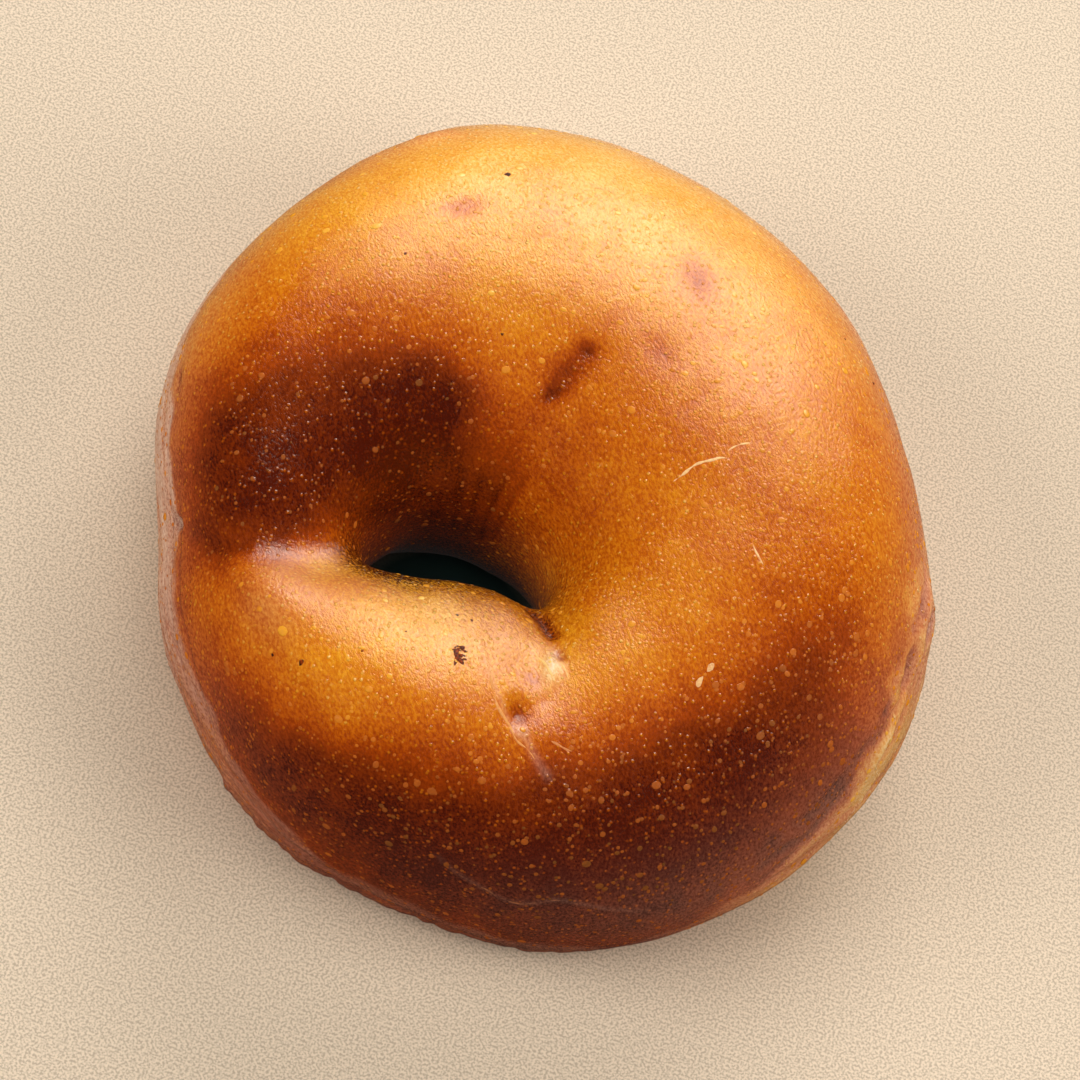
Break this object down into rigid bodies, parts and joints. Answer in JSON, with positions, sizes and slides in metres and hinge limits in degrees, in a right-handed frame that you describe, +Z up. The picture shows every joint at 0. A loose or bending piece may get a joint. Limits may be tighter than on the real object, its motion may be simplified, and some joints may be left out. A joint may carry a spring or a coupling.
{
  "type": "bagel",
  "caption": "Plain baked bagel: a hand-shaped ring of dough with a small off-centre hole, thick on one side, resting on its flat base.",
  "frame": {"origin": "middle of the outline seen from above, on the flat base the bagel rests on", "axes": "+Z up, out of the flat base; +Y towards the thick side; +X to the right of it"},
  "size_m": [0.1112, 0.1178, 0.0437],
  "materials": {
    "crust": "satin"
  },
  "bodies": {
    "root": {"bagel": "crust"}
  },
  "joints": []
}
